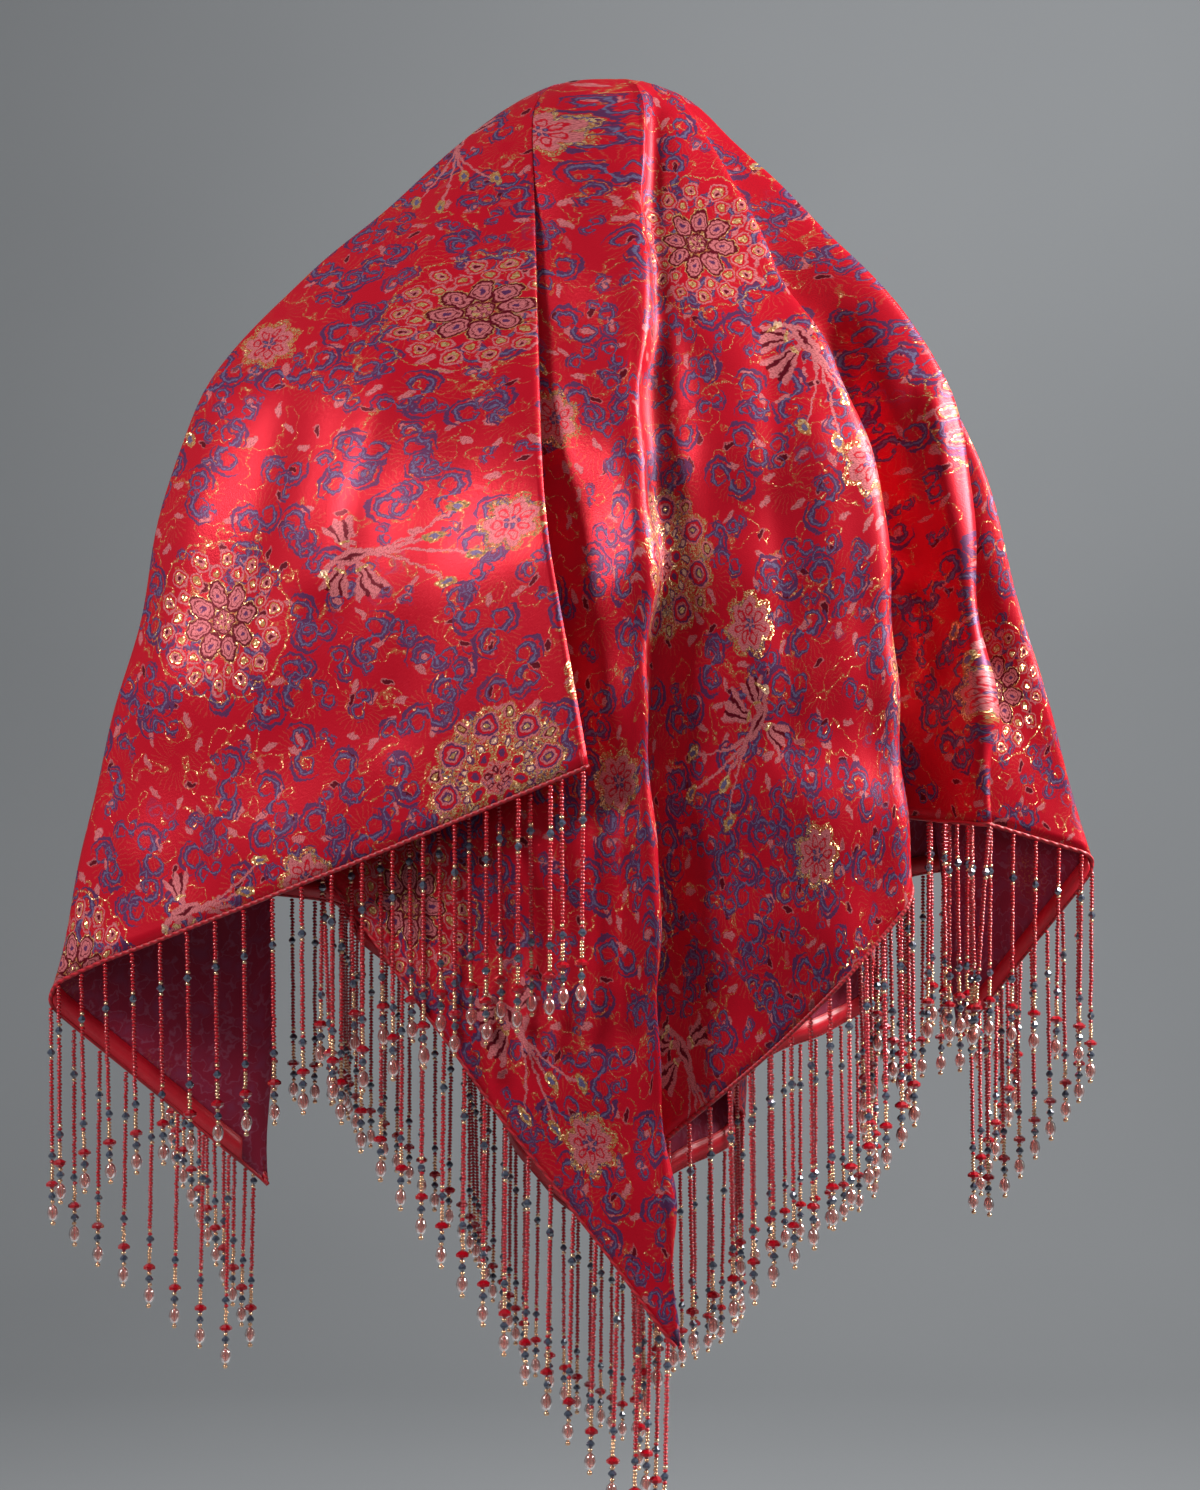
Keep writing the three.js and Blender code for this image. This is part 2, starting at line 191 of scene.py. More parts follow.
def fold_line(fold):
    """One fold line: from the crown, round the rim, straight, round the turn, to the hem."""
    a, b = math.radians(fold.top), math.radians(fold.out)
    rim = np.array([
        RIM["centre_x"] + RIM["half_width"] * math.cos(a),
        RIM["half_depth"] * math.sin(a),
        -RIM["drop"],
    ])
    way = "front" if math.sin(b) < 0 else "back"
    depth, lowest = TURN[way], TURN[way + "_drop"]
    turn = np.array([
        TURN["centre_x"] + (TURN["half_width"] + fold.proud) * math.cos(b),
        (depth + fold.proud) * math.sin(b),
        -(TURN["side_drop"] + (lowest - TURN["side_drop"]) * math.sin(b) ** 2),
    ])
    crown = np.zeros(3)
    hem = np.array([fold.x, fold.y, fold.z], float)
    before_rim = rim + (crown - rim) * RIM_ROUNDING
    after_rim = rim + (turn - rim) * RIM_ROUNDING_BELOW
    before_turn = turn + (rim - turn) * TURN_ROUNDING
    after_turn = turn + (hem - turn) * TURN_ROUNDING
    t = np.linspace(0, 1, BEND_STEPS)[:, None]
    bends = [parabola(before_rim, rim, after_rim, t), parabola(before_turn, turn, after_turn, t)]
    return resampled(np.vstack([crown, bends[0], bends[1], hem]), LINE_STEPS) * MM


LINES = np.array([fold_line(fold) for fold in FOLDS])
SOFT = np.array([fold.soft for fold in FOLDS])
SOFT_AT_HEM = np.array([CORNER_SOFTNESS if fold.corner else fold.soft for fold in FOLDS])


def on_line(index, share):
    """Points of fold lines at shares of their length; past 1 they carry on straight."""
    lines = LINES[index % FOLD_COUNT]
    place = np.clip(share, 0, 1) * LINE_STEPS
    k = np.minimum(place.astype(int), LINE_STEPS - 1)
    rows = np.arange(len(lines))
    start, end = lines[rows, k], lines[rows, k + 1]
    beyond = np.maximum(share - 1, 0) * LINE_STEPS
    return start + (end - start) * (place - k + beyond)[:, None]


def softness(index, share):
    """How far each fold is rounded, blending from its own value to that at the hem."""
    i = index % FOLD_COUNT
    return SOFT[i] + (SOFT_AT_HEM[i] - SOFT[i]) * np.minimum(share, 1) ** 4


def plain_cloth(u, share):
    """The cloth's middle surface at arrays u, in folds, and share, from crown 0 to hem 1: a
    polygon through the fold lines whose corners are rounded by parabolas."""
    index = np.floor(u).astype(int)
    w = u - index
    before, here, after, later = (on_line(index + i, share) for i in (-1, 0, 1, 2))
    half = softness(index, share) / 2
    half_next = softness(index + 1, share) / 2

    def corner(a, at, b, reach, t):
        reach, t = reach[:, None], t[:, None]
        return parabola(at + (a - at) * reach, at, at + (b - at) * reach, t)

    leaving = corner(before, here, after, half, 0.5 + w / (2 * half))
    arriving = corner(here, after, later, half_next, 0.5 - (1 - w) / (2 * half_next))
    straight = here + (after - here) * w[:, None]
    first = np.where((w < half)[:, None], leaving, straight)
    return np.where((1 - w < half_next)[:, None], arriving, first)


def normals(surface, u, share):
    """Outward unit normals: across the cloth times down it, by small differences."""
    across = surface(u + STEP_ACROSS, share) - surface(u - STEP_ACROSS, share)
    down = surface(u, share + STEP_DOWN) - surface(u, np.maximum(share - STEP_DOWN, 0))
    return unit(np.cross(down, across))


def hem_shares():
    """For each side of the square, its u values and how far along the side each lies."""
    table = []
    for i, start in enumerate(CORNERS):
        end = CORNERS[i + 1] if i + 1 < len(CORNERS) else CORNERS[0] + FOLD_COUNT
        u = np.linspace(start, end, HEM_STEPS_A_FOLD * (end - start) + 1)
        hem = plain_cloth(u, np.ones_like(u))
        along = np.concatenate([[0], np.cumsum(np.linalg.norm(np.diff(hem, axis=0), axis=1))])
        table.append((u, along))
    return table


HEMS = hem_shares()


def flat_place(u, share, side):
    """Where a point of the draped cloth lies on the flat square, from its middle: the point of
    the square's edge that the fold leads to, times the share of the way to it."""
    corner = np.array([[-1, -1], [1, -1], [1, 1], [-1, 1], [-1, -1]]) * side / 2
    start = CORNERS[0]
    wrapped = (u - start) % FOLD_COUNT + start
    place = np.zeros((len(u), 2))
    for i, (us, along) in enumerate(HEMS):
        here = (wrapped >= us[0]) & (wrapped <= us[-1])
        t = np.interp(wrapped, us, along / along[-1])[:, None]
        place = np.where(here[:, None], corner[i] + (corner[i + 1] - corner[i]) * t, place)
    return place * share[:, None]


# Soft ridges and hollows of the front, each along a line from (x, z) to (x, z) in millimetres as
# seen from the front, on the cloth between two fold places: how far it stands out and how wide.
Crease = namedtuple("Crease", "x0 z0 x1 z1 height width low high")
CREASES = [
    Crease(-70, -65, -128, -262, 2.6, 11, 23.6, 25.3),
    Crease(-44, -150, -92, -330, -2.0, 13, 23.6, 25.3),
    Crease(-185, -165, -228, -392, 2.2, 12, 22.8, 24.9),
    Crease(-150, -150, -196, -400, -2.4, 13, 22.8, 24.9),
    Crease(-40, -60, -20, -210, 1.6, 9, 23.6, 25.3),
    Crease(22, -14, 21, -58, 2.6, 6, 0.2, 3.2),
    Crease(20, -75, 10, -250, 1.5, 12, 0.2, 3.2),
    Crease(31, -16, 30, -120, -3.2, 7, 0.2, 3.2),
    Crease(32, -130, 36, -370, -2.4, 13, 0.2, 3.2),
    Crease(84, -150, 92, -340, -2.2, 9, 1.2, 3.6),
    Crease(104, -190, 124, -360, 2.0, 10, 1.2, 3.6),
    Crease(95, -92, 131, -168, 3.0, 7, 2.4, 3.6),
    Crease(131, -168, 150, -285, 4.0, 7, 2.5, 3.6),
    Crease(122, -140, 158, -300, -9.0, 12, 3.5, 5.0),
    Crease(133, -248, 162, -262, 4.0, 6, 3.5, 5.0),
    Crease(166, -169, 190, -330, 4.0, 6, 4.5, 5.6),
    Crease(174, -190, 200, -290, -6.0, 9, 5.2, 7.0),
    Crease(30, -400, 52, -560, -2.0, 12, 0.1, 3.2),
    Crease(-30, -430, 20, -600, 1.6, 10, 26.9, 27.95),
]
# A crease fades over this many folds at the ends of its span. The ripple has this many waves, of
# lengths in metres between these two.
CREASE_FADE = 0.3
WAVES = 9
WAVE_LENGTHS = (0.05, 0.14)
# Two layers lie close at the pleat, so there the waves and the creases grow from nothing to full
# over these distances in folds from the pleat's middle, as the waves do from the crown.
PLEAT = next(i for i, fold in enumerate(FOLDS) if fold.name == "pleat edge") + 0.3
WAVES_GROW = (0.8, 2.0)
CREASES_GROW = (0.32, 1.12)
CROWN_GROW = (0.0, 0.25)


def growing(value, start, end):
    """0 up to start, 1 from end on, and even between."""
    return np.clip((value - start) / (end - start), 0, 1)


def creased(u, share):
    """How far the creases lift the cloth: for each a bell over the distance from its line,
    inside its span of folds."""
    p = plain_cloth(u, share) / MM
    place = u % FOLD_COUNT
    total = np.zeros(len(u))
    for crease in CREASES:
        start = np.array([crease.x0, crease.z0])
        line = np.array([crease.x1, crease.z1]) - start
        off = p[:, [0, 2]] - start
        t = np.clip(off @ line / (line @ line), 0, 1)
        gap = np.linalg.norm(off - t[:, None] * line, axis=1)
        first = growing(place, crease.low, crease.low + CREASE_FADE)
        last = 1 - growing(place, crease.high - CREASE_FADE, crease.high)
        total += crease.height * np.exp(-((gap / crease.width) ** 2)) * (first * last)
    return total * MM


def ripple(u, share, sizes):
    """A gentle unevenness of the hanging cloth: a few long waves of the flat place, each with
    its own direction, fading out at the crown and by the pleat, and the creases on top."""
    p = flat_place(u, share, sizes.side)
    rng = np.random.default_rng(7)
    total = np.zeros(len(u))
    for _ in range(WAVES):
        angle, phase = rng.uniform(0, TAU, 2)
        span = rng.uniform(*WAVE_LENGTHS)
        total += np.sin(TAU * (p[:, 0] * math.cos(angle) + p[:, 1] * math.sin(angle)) / span + phase)
    from_pleat = np.abs(u % FOLD_COUNT - PLEAT)
    grown = growing(share, *CROWN_GROW) * growing(from_pleat, *WAVES_GROW)
    waves = sizes.ruffle * total / math.sqrt(WAVES) * grown
    return waves + creased(u, share) * growing(from_pleat, *CREASES_GROW)


def cloth_point(u, share, distance, sizes):
    """A point off the rippled cloth, lifted so that the crown's inner face is at the origin."""
    n = normals(plain_cloth, u, share)
    p = plain_cloth(u, share) + n * (distance + ripple(u, share, sizes))[:, None]
    p[:, 2] += sizes.wall / 2
    return p


def add_mesh(name, points, faces, material_list, face_materials=None, uv=None, smooth=True):
    """A mesh object at the origin from arrays: points, faces of equal size, one UV a point."""
    mesh = bpy.data.meshes.new(name)
    faces = [np.asarray(f) for f in (faces if isinstance(faces, list) else [faces])]
    sizes = np.concatenate([np.full(len(f), f.shape[1]) for f in faces])
    corners = np.concatenate([f.ravel() for f in faces])
    mesh.vertices.add(len(points))
    mesh.vertices.foreach_set("co", np.asarray(points, np.float32).ravel())
    mesh.loops.add(len(corners))
    mesh.loops.foreach_set("vertex_index", corners.astype(np.int32))
    mesh.polygons.add(len(sizes))
    starts = np.concatenate([[0], np.cumsum(sizes)[:-1]])
    mesh.polygons.foreach_set("loop_start", starts.astype(np.int32))
    mesh.polygons.foreach_set("use_smooth", np.zeros(len(sizes), bool) | smooth)
    for material in material_list:
        mesh.materials.append(material)
    if face_materials is not None:
        mesh.polygons.foreach_set("material_index", np.asarray(face_materials, np.int32))
    if uv is not None:
        layer = mesh.uv_layers.new(name="flat_cloth")
        layer.data.foreach_set("uv", np.asarray(uv, np.float32)[corners].ravel())
    mesh.update(calc_edges=True)
    mesh.validate()
    piece = bpy.data.objects.new(name, mesh)
    bpy.context.scene.collection.objects.link(piece)
    return piece


def grid_faces(rows, columns, offset=0, closed=False, flip=False):
    """Quads of a grid of points, row after row; closed joins its last column to its first."""
    here = np.arange(rows - 1)[:, None] * columns
    below_it = here + columns
    c = np.arange(columns if closed else columns - 1)[None, :]
    right = (c + 1) % columns
    quad = np.stack([here + c, below_it + c, below_it + right, here + right], axis=-1)
    quad = quad.reshape(-1, 4) + offset
    return quad[:, ::-1] if flip else quad


def end_fans(around, rings, tips):
    """Triangles that close a tube's first and last ring with its two tips, numbered from tips."""
    c = np.arange(around)
    right = (c + 1) % around
    last = (rings - 1) * around
    return np.vstack([
        np.stack([np.full(around, tips), c, right], axis=1),
        np.stack([np.full(around, tips + 1), last + right, last + c], axis=1),
    ])


def brocade_mesh(sizes, materials):
    """The square of cloth as two walls of one grid, closed by a fan at the crown and a strip
    along the hem. The flat place of each point is its UV."""
    around = FOLD_COUNT * COLUMNS_A_FOLD
    u_line = np.arange(around) / COLUMNS_A_FOLD
    share_line = np.linspace(0, 1, ROWS + 1)[1:] ** ROW_POWER
    share, u = (a.ravel() for a in np.meshgrid(share_line, u_line, indexing="ij"))
    walls, uvs = [], []
    for off in (sizes.wall / 2, -sizes.wall / 2):
        crown = np.array([[0, 0, sizes.wall / 2 + off]])
        walls.append(np.vstack([crown, cloth_point(u, share, off, sizes)]))
        uvs.append(np.vstack([[0, 0], flat_place(u, share, sizes.side)]))
    layer = len(walls[0])
    here = np.arange(around)
    right = (here + 1) % around
    fan = np.stack([np.zeros(around, int), here + 1, right + 1], axis=1)
    fans = np.vstack([fan, fan[:, ::-1] + layer])
    outer, inner = (grid_faces(ROWS, around, 1 + i * layer, closed=True, flip=i == 1) for i in (0, 1))
    last = 1 + (ROWS - 1) * around
    edge = np.stack([here, here + layer, right + layer, right], axis=1) + last
    kinds = np.concatenate([
        np.zeros(around), np.ones(around), np.zeros(len(outer)), np.ones(len(inner)), np.zeros(len(edge)),
    ])
    faces = [fans, np.vstack([outer, inner, edge])]
    return add_mesh("veil_brocade_cloth", np.vstack(walls), faces, materials, kinds, np.vstack(uvs))


def side_line(i, shares, gap=END_GAP):
    """u values at shares of the length of one side's hem, in from the corners by gap of a fold."""
    us, along = HEMS[i]
    start, end = np.interp([us[0] + gap, us[-1] - gap], us, along)
    return np.interp(start + (end - start) * shares, along, us)


def facing_mesh(i, sizes, trim, material):
    """The satin facing: a flat bar inside the hem whose section is four corners."""
    u = side_line(i, np.linspace(0, 1, FACING_STEPS))
    outer = -sizes.wall / 2 - trim.seam_gap
    inner = outer - trim.facing_wall
    top = 1 - trim.facing_width / (LINE_TO_SIDE * sizes.side)
    corners = [(top, outer), (1, outer), (1, inner), (top, inner)]
    rings = [cloth_point(u, np.full_like(u, share), off, sizes) for share, off in corners]
    points = np.stack(rings, axis=1).reshape(-1, 3)
    flat = [flat_place(u, np.full_like(u, share), sizes.side) for share, _ in corners]
    uv = np.stack(flat, axis=1).reshape(-1, 2)
    last = len(points) - 4
    ends = [[0, 3, 2, 1], [last, last + 1, last + 2, last + 3]]
    quads = np.vstack([grid_faces(len(u), 4, closed=True, flip=True), ends])
    return add_mesh(f"hem_facing_{SIDES[i]}_satin", points, quads, [material], uv=uv)


def tube_mesh(name, path, radius, around, material):
    """A round cord along a path: rings of a circle square to the path, closed at both ends."""
    ahead = unit(np.gradient(path, axis=0))
    side = unit(np.cross(ahead, [0, 0, 1]))
    up = np.cross(side, ahead)
    a = np.arange(around) * TAU / around
    ring = np.cos(a)[None, :, None] * side[:, None, :] + np.sin(a)[None, :, None] * up[:, None, :]
    points = np.vstack([(path[:, None, :] + radius * ring).reshape(-1, 3), path[:1], path[-1:]])
    quads = grid_faces(len(path), around, closed=True, flip=True)
    caps = end_fans(around, len(path), len(points) - 2)
    return add_mesh(name, points, [caps, quads], [material])


def bead(profile, around):
    """A turned bead of unit size: the profile's (radius, height) pairs carried round the axis,
    closed by a point at each end. Returns its points and its three-cornered faces."""
    a = np.arange(around) * TAU / around
    circle = np.stack([np.cos(a), np.sin(a)], axis=1)
    rings = [np.column_stack([circle * r, np.full(around, h)]) for r, h in profile]
    top, foot = profile[0][1], profile[-1][1]
    points = np.vstack([*rings, [[0, 0, top], [0, 0, foot]]])
    quads = grid_faces(len(profile), around, closed=True)
    caps = end_fans(around, len(profile), len(points) - 2)
    return points, np.vstack([quads[:, [0, 1, 2]], quads[:, [0, 2, 3]], caps])


# The bead shapes at unit diameter and length: how many sides each has, its profile from the top
# down as pairs of radius and height, and whether it is smooth or faceted.
Bead = namedtuple("Bead", "around profile smooth")
BEADS = {
    "seed": Bead(6, [(0.2, 0.5), (0.45, 0.3), (0.5, 0.0), (0.45, -0.3), (0.2, -0.5)], True),
    "facet": Bead(6, [(0.2, 0.5), (0.5, 0.12), (0.5, -0.12), (0.2, -0.5)], False),
    "rondelle": Bead(8, [(0.22, 0.5), (0.5, 0.16), (0.5, -0.16), (0.22, -0.5)], False),
    "thread": Bead(6, [(0.5, 0.5), (0.5, -0.5)], True),
    "oval": Bead(8, [(0.14, 0.5), (0.38, 0.33), (0.5, 0.0), (0.38, -0.33), (0.14, -0.5)], True),
}

# One strand from its root down: how many beads, their shape, their finish, and their diameter
# and length in millimetres.
Run = namedtuple("Run", "count shape finish diameter pitch")
STRAND = [
    Run(11, "seed", "red", 2.5, 1.62),
    Run(1, "seed", "gold", 2.5, 1.7),
    Run(1, "facet", "blue_grey", 4.0, 3.6),
    Run(1, "seed", "gold", 2.5, 1.7),
    Run(25, "seed", "red", 2.5, 1.62),
    Run(1, "seed", "gold", 2.5, 1.7),
    Run(1, "seed", "red", 2.5, 1.62),
    Run(1, "facet", "blue_grey", 4.0, 3.6),
    Run(1, "seed", "red", 2.5, 1.62),
    Run(5, "seed", "gold", 2.4, 1.6),
    Run(1, "rondelle", "ruby", 6.4, 4.0),
    Run(1, "seed", "gold", 2.5, 1.8),
    Run(1, "facet", "blue_grey", 4.0, 3.6),
    Run(1, "seed", "gold", 2.5, 1.8),
    Run(1, "oval", "rose", 5.8, 8.2),
    Run(1, "seed", "gold", 2.7, 2.1),
]
# The finishes in the order of a fringe's materials, and how far a bead strays from its thread.
FINISHES = ("red", "gold", "blue_grey", "ruby", "rose", "thread")
BEAD_DRIFT = 0.12 * MM


def strand_beads():
    """Every bead of one strand: its run and how far its middle lies from the root, in metres."""
    threaded, down = [], 0.0
    for run in STRAND:
        for _ in range(run.count):
            threaded.append((run, (down + run.pitch / 2) * MM))
            down += run.pitch
    return threaded, down * MM


def strand_ends(i, sizes, fringe):
    """Roots and feet of one side's strands. The roots lie at equal lengths along the edge, and
    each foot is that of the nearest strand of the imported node, which leans clear of the cloth."""
    u = side_line(i, (np.arange(fringe.strands) + 0.5) / fringe.strands)
    roots = cloth_point(u, np.full_like(u, ROOT_SHARE), 0, sizes)
    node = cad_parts[f"fringe_{SIDES[i]}"]
    points = np.empty(len(node.data.vertices) * 3, np.float32)
    node.data.vertices.foreach_get("co", points)
    points = np.unique(np.round(points.reshape(-1, 3), 5), axis=0)
    feet = []
    for root in roots:
        level = np.abs(points[:, 2] - (root[2] - fringe.length)) < FOOT_HEIGHT
        near = np.linalg.norm(points[:, :2] - root[:2], axis=1) + ~level
        nearest = points[np.argsort(near)[:4]]
        found = near.min() < FOOT_REACH
        feet.append(nearest.mean(axis=0) if found else root - [0, 0, fringe.length])
    return roots, np.array(feet)


def fringe_mesh(i, sizes, fringe, materials):
    """One side's bead strands on their threads: copies of the bead shapes, turned to the line
    from root to foot and sized by their run, joined into one mesh."""
    roots, feet = strand_ends(i, sizes, fringe)
    threaded, hang = strand_beads()
    thread = Run(1, "thread", "thread", fringe.thread / MM, hang / MM)
    threaded.append((thread, hang / 2))
    rng = np.random.default_rng(20 + i)
    down = unit(feet - roots)
    side = unit(np.cross(down, [0.3, 1, 0]))
    other = np.cross(down, side)
    shapes = {name: bead(form.profile, form.around) for name, form in BEADS.items()}
    points, faces, kinds, smooth, count = [], [], [], [], 0
    for run, middle in threaded:
        shape, triangles = shapes[run.shape]
        scaled = shape * [run.diameter * MM, run.diameter * MM, run.pitch * MM]
        turn = rng.uniform(0, TAU, len(roots))
        c, s = np.cos(turn)[:, None], np.sin(turn)[:, None]
        across = side * c + other * s
        along = other * c - side * s
        drift = rng.normal(0, BEAD_DRIFT, (len(roots), 2))
        centre = roots + down * (middle * fringe.length / hang) + side * drift[:, :1] + other * drift[:, 1:]
        beads = (
            centre[:, None, :]
            + scaled[None, :, :1] * across[:, None, :]
            + scaled[None, :, 1:2] * along[:, None, :]
            - scaled[None, :, 2:] * down[:, None, :]
        )
        offsets = count + np.arange(len(roots)) * len(shape)
        points.append(beads.reshape(-1, 3))
        faces.append((triangles[None] + offsets[:, None, None]).reshape(-1, 3))
        kinds.append(np.full(len(faces[-1]), FINISHES.index(run.finish)))
        smooth.append(np.full(len(faces[-1]), BEADS[run.shape].smooth))
        count += len(shape) * len(roots)
    points, faces, kinds, smooth = (np.concatenate(parts) for parts in (points, faces, kinds, smooth))
    return add_mesh(f"bead_fringe_{SIDES[i]}", points, faces, materials, kinds, smooth=smooth)


class Weave:
    """A number in a material's nodes. Arithmetic on it adds Math nodes to the same material."""

    def __init__(self, nodes, socket):
        self.nodes = nodes
        self.socket = socket

    def math(self, operation, *others, clamp=False):
        return self.nodes.math(operation, self, *others, clamp=clamp)

    def __add__(self, other):
        return self.math("ADD", other)

    def __sub__(self, other):
        return self.math("SUBTRACT", other)

    def __rsub__(self, other):
        return self.nodes.math("SUBTRACT", other, self)

    def __mul__(self, other):
        return self.math("MULTIPLY", other)

    def __truediv__(self, other):
        return self.math("DIVIDE", other)

    def __pow__(self, other):
        return self.math("POWER", other)

    def __abs__(self):
        return self.math("ABSOLUTE")

    __radd__ = __add__
    __rmul__ = __mul__


class Nodes:
    """The nodes of one new material, whose Principled BSDF is shader."""

    def __init__(self, name):
        self.material = bpy.data.materials.new(name)
        self.material.use_nodes = True
        self.tree = self.material.node_tree
        self.shader = self.tree.nodes["Principled BSDF"]

    def add(self, kind, settings=None, **inputs):
        """A node of this type, with its settings made first, then its sockets' values or links."""
        node = self.tree.nodes.new(kind)
        for name, value in (settings or {}).items():
            setattr(node, name, value)
        for name, value in inputs.items():
            self.feed(self.socket_named(node, name), value)
        return node

    @staticmethod
    def socket_named(node, name):
        """A socket by its name with _ for spaces, or by its place as in at_1."""
        if name.startswith("at_"):
            return node.inputs[int(name[3:])]
        return node.inputs[name.replace("_", " ")]

    def feed(self, socket, value):
        if isinstance(value, Weave):
            self.tree.links.new(value.socket, socket)
        elif isinstance(value, bpy.types.NodeSocket):
            self.tree.links.new(value, socket)
        elif hasattr(value, "__len__") and len(value) == 3 and len(socket.default_value) == 4:
            socket.default_value = (*value, 1.0)
        else:
            socket.default_value = value

    def math(self, operation, *values, clamp=False):
        settings = {"operation": operation, "use_clamp": clamp}
        node = self.add("ShaderNodeMath", settings, **{f"at_{i}": v for i, v in enumerate(values)})
        return Weave(self, node.outputs[0])

    def mixed(self, factor, first, second):
        """The first colour where factor is 0 and the second where it is 1."""
        node = self.add("ShaderNodeMix", {"data_type": "RGBA"}, at_0=factor, at_6=first, at_7=second)
        return node.outputs[2]

    def flat_cloth(self):
        """The flat cloth's two directions in millimetres: across and up as the front hangs."""
        uv = self.add("ShaderNodeUVMap", {"uv_map": "flat_cloth"}).outputs[0]
        parts = self.add("ShaderNodeSeparateXYZ", Vector=uv)
        p, q = (Weave(self, parts.outputs[i]) * (1 / MM / math.sqrt(2)) for i in (0, 1))
        return p - q, p + q

    def object_place(self):
        return self.add("ShaderNodeTexCoord").outputs["Object"]

    def noise(self, vector, scale, detail=2.0):
        node = self.add("ShaderNodeTexNoise", Vector=vector, Scale=scale, Detail=detail)
        return Weave(self, node.outputs["Fac"])

    def cloth_noise(self, x, y, detail=2.0):
        return self.noise(self.vector(x, y), 1.0, detail)

    def vector(self, x, y, z=0.0):
        return self.add("ShaderNodeCombineXYZ", X=x, Y=y, Z=z).outputs[0]

    def bump(self, height, strength, distance):
        node = self.add("ShaderNodeBump", Height=height, Strength=strength, Distance=distance)
        return node.outputs[0]

    def number_pair(self, colour):
        """The first two numbers of a colour."""
        parts = self.add("ShaderNodeSeparateColor", Color=colour)
        return [Weave(self, parts.outputs[i]) for i in (0, 1)]

    def sparkle(self, normal, first, second, amount):
        """The normal tipped at random, by two numbers from -0.5 to 0.5, where amount isn't 0."""
        tip = self.vector(first * amount, second * amount, (first + second) * amount)
        total = self.add("ShaderNodeVectorMath", {"operation": "ADD"}, at_0=normal, at_1=tip)
        tipped = self.add("ShaderNodeVectorMath", {"operation": "NORMALIZE"}, at_0=total.outputs[0])
        return tipped.outputs[0]

    def finish(self, **inputs):
        for name, value in inputs.items():
            self.feed(self.socket_named(self.shader, name), value)
        return self.material


def below(value, limit, soft=0.35):
    """1 where value is under limit, 0 above it, over a soft edge."""
    return ((limit - value) * (1 / soft)).math("ADD", 0.5, clamp=True)


def between(value, low, high, soft=0.35):
    """1 where value lies from low to high."""
    middle = (low + high) / 2
    return below(abs(value - middle), (high - low) / 2, soft)


def clamped(value):
    return value.math("ADD", 0.0, clamp=True)


def distance(x, y):
    return (x * x + y * y) ** 0.5


def bearing(x, y):
    return y.math("ARCTAN2", x)


def wrapped(value, period):
    """value moved by whole periods to lie within half a period of 0."""
    return value.math("WRAP", period / 2, -period / 2)


def turned(x, y, degrees):
    """The point's place on axes turned by an angle."""
    c, s = math.cos(math.radians(degrees)), math.sin(math.radians(degrees))
    return x * c + y * s, y * c - x * s


def oval(x, y, half_length, half_width):
    """0 at an oval's middle, growing evenly to half_width at its edge."""
    return distance(x * (half_width / half_length), y)


def round_ring(r, a, count, out, phase=0.0):
    """Folds a whole turn into count like parts, each with its own axes, out from the middle."""
    part = wrapped(a + phase, TAU / count)
    return r * part.math("COSINE") - out, r * part.math("SINE")


class Cloth:
    """The weave being painted, from the ground up, and lace, a ragged mask for the parts that
    the ground shows through. Which threads are gold and which are raised is read back from the
    colour, because the gold alone is much greener than it is blue, and the red ground alone has
    hardly any green or blue."""

    def __init__(self, nodes, ground):
        self.nodes = nodes
        self.colour = ground
        self.lace = 1.0

    def paint(self, mask, colour):
        self.colour = self.nodes.mixed(mask.socket, self.colour, colour)

    def gold_and_raised(self):
        parts = self.nodes.add("ShaderNodeSeparateColor", Color=self.colour)
        green, blue = (Weave(self.nodes, parts.outputs[i]) for i in (1, 2))
        gold = clamped((green - blue - 0.05) * 12)
        raised = clamped((green + blue - 0.04) * 8)
        return gold, raised


# The woven motifs repeat over the cloth in a block of this many millimetres, which lies this far
# across and up from the crown.
BLOCK_ACROSS = 186.0
BLOCK_UP = 330.0
BLOCK_CORNER = (39.0, 43.0)

DARK_RED = (0.1, 0.003, 0.01)
CREAM = (0.6, 0.33, 0.25)
VIOLET = (0.085, 0.026, 0.09)
BRIGHT_GOLD = (0.95, 0.64, 0.32)
RUST = (0.5, 0.07, 0.04)
MAROON = (0.25, 0.006, 0.03)
PLUM = (0.2, 0.05, 0.12)
LAVENDER = (0.3, 0.1, 0.17)
DULL_GOLD = (0.42, 0.12, 0.05)


def placed(x, y, across, up, angle=0.0):
    """The point as seen from the nearest repeat of a place in the block, turned by an angle."""
    local = wrapped(x - across, BLOCK_ACROSS), wrapped(y - up, BLOCK_UP)
    return turned(*local, angle) if angle else local


def dimmed(colour, share):
    return [c * share for c in colour]


def spot(cloth, x, y, half_length, half_width, colour):
    cloth.paint(below(oval(x, y, half_length, half_width), half_width), colour)


def petals(cloth, polar, ring, colours):
    """A ring of like petals, (count, distance out, half length, half width, phase), each an
    oval painted from its edge inwards with (share of its width, colour) pairs."""
    count, out, length, width, phase = ring
    petal = oval(*round_ring(*polar, count, out, phase), length, width)
    for share, colour in colours:
        cloth.paint(below(petal, width * share), colour)


